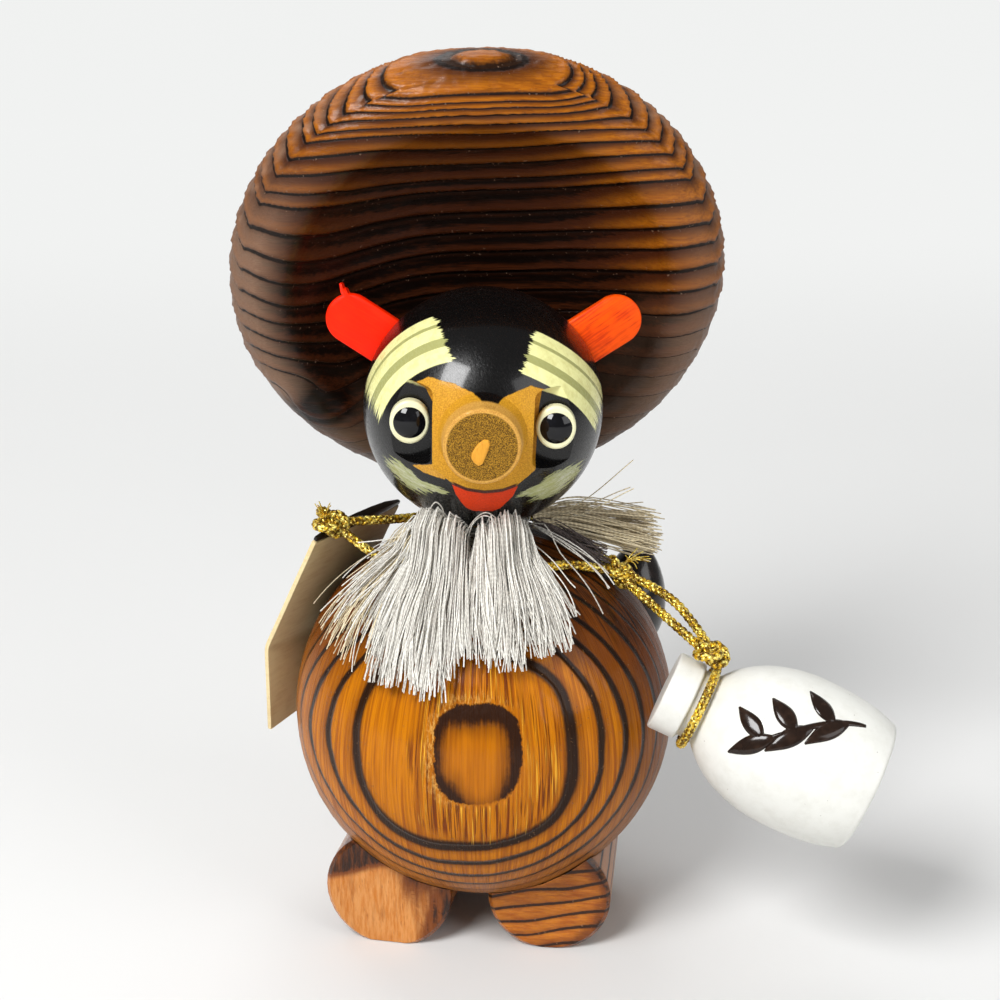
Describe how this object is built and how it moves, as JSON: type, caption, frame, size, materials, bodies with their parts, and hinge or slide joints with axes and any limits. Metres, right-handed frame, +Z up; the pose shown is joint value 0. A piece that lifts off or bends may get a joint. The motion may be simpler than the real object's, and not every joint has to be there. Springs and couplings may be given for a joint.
{
  "type": "figurine",
  "caption": "Turned and scorched cedar tanuki figurine with a wide dished hat, thread beard, and a gold cord that carries a white flask and a thin ledger",
  "frame": {"origin": "Middle of the whole figurine's box in X and Y, on the surface that the feet stand on", "axes": "+X is the viewer's right, +Y points from the face to the back, +Z is up"},
  "size_m": [0.1256, 0.0796, 0.173],
  "materials": {
    "cedar": "scorched, brushed and varnished, satin",
    "scorched_cedar": "deeply scorched and brushed, glossy varnish",
    "black_lacquer": "black lacquer with painted face, glossy",
    "cream_paint": "cream paint, satin",
    "pupil_gloss": "black, high gloss",
    "vermilion_paint": "vermilion paint, satin",
    "white_thread": "twisted white thread, cut ends",
    "taupe_thread": "twisted taupe thread, cut ends",
    "gold_cord": "braided metallic gold thread",
    "white_paint": "white paint, satin",
    "tan_sheet": "thin tan sheet, plain",
    "black_edge": "black paint",
    "peg_wood": "plain glued dowel"
  },
  "bodies": {
    "figure": {"hat": "scorched_cedar", "hat_peg": "peg_wood", "eye_left": "cream_paint", "pupil_left": "pupil_gloss", "ear_left": "vermilion_paint", "eye_right": "cream_paint", "pupil_right": "pupil_gloss", "ear_right": "vermilion_paint", "head": "black_lacquer", "body": "cedar", "neck_peg": "peg_wood", "foot_left": "cedar", "foot_peg_left": "peg_wood", "foot_right": "cedar", "foot_peg_right": "peg_wood", "tail": "black_lacquer", "tail_peg": "peg_wood", "thread_collar": "white_thread", "shoulder_knot": "gold_cord", "ledger_knot": "gold_cord", "neck_cord_front": "gold_cord", "neck_cord_back": "gold_cord", "beard_left": "white_thread", "beard_right": "white_thread", "tuft_right": "taupe_thread", "tuft_left": "taupe_thread"},
    "sling": {"sling_upper": "gold_cord", "sling_lower": "gold_cord", "flask_knot": "gold_cord", "flask_loop": "gold_cord"},
    "flask": {"flask": "white_paint"},
    "ledger": {"ledger": "tan_sheet", "ledger_binding": "black_edge"}
  },
  "joints": [
    {"name": "flask_swing", "type": "hinge", "parent": "figure", "child": "sling", "pos_m": [0.0119, -0.00015, 0.07333], "axis": [-0.6585, -0.7526, 0], "range_deg": [0, 40]},
    {"name": "flask_turn", "type": "hinge", "parent": "sling", "child": "flask", "pos_m": [0.0262, -0.02013, 0.0543], "axis": [0.9008, -0.2002, -0.3853], "continuous": true},
    {"name": "ledger_swing", "type": "hinge", "parent": "figure", "child": "ledger", "pos_m": [-0.04461, -0.00046, 0.08238], "axis": [0.5821, 0.8131, 0], "range_deg": [0, 40]}
  ]
}
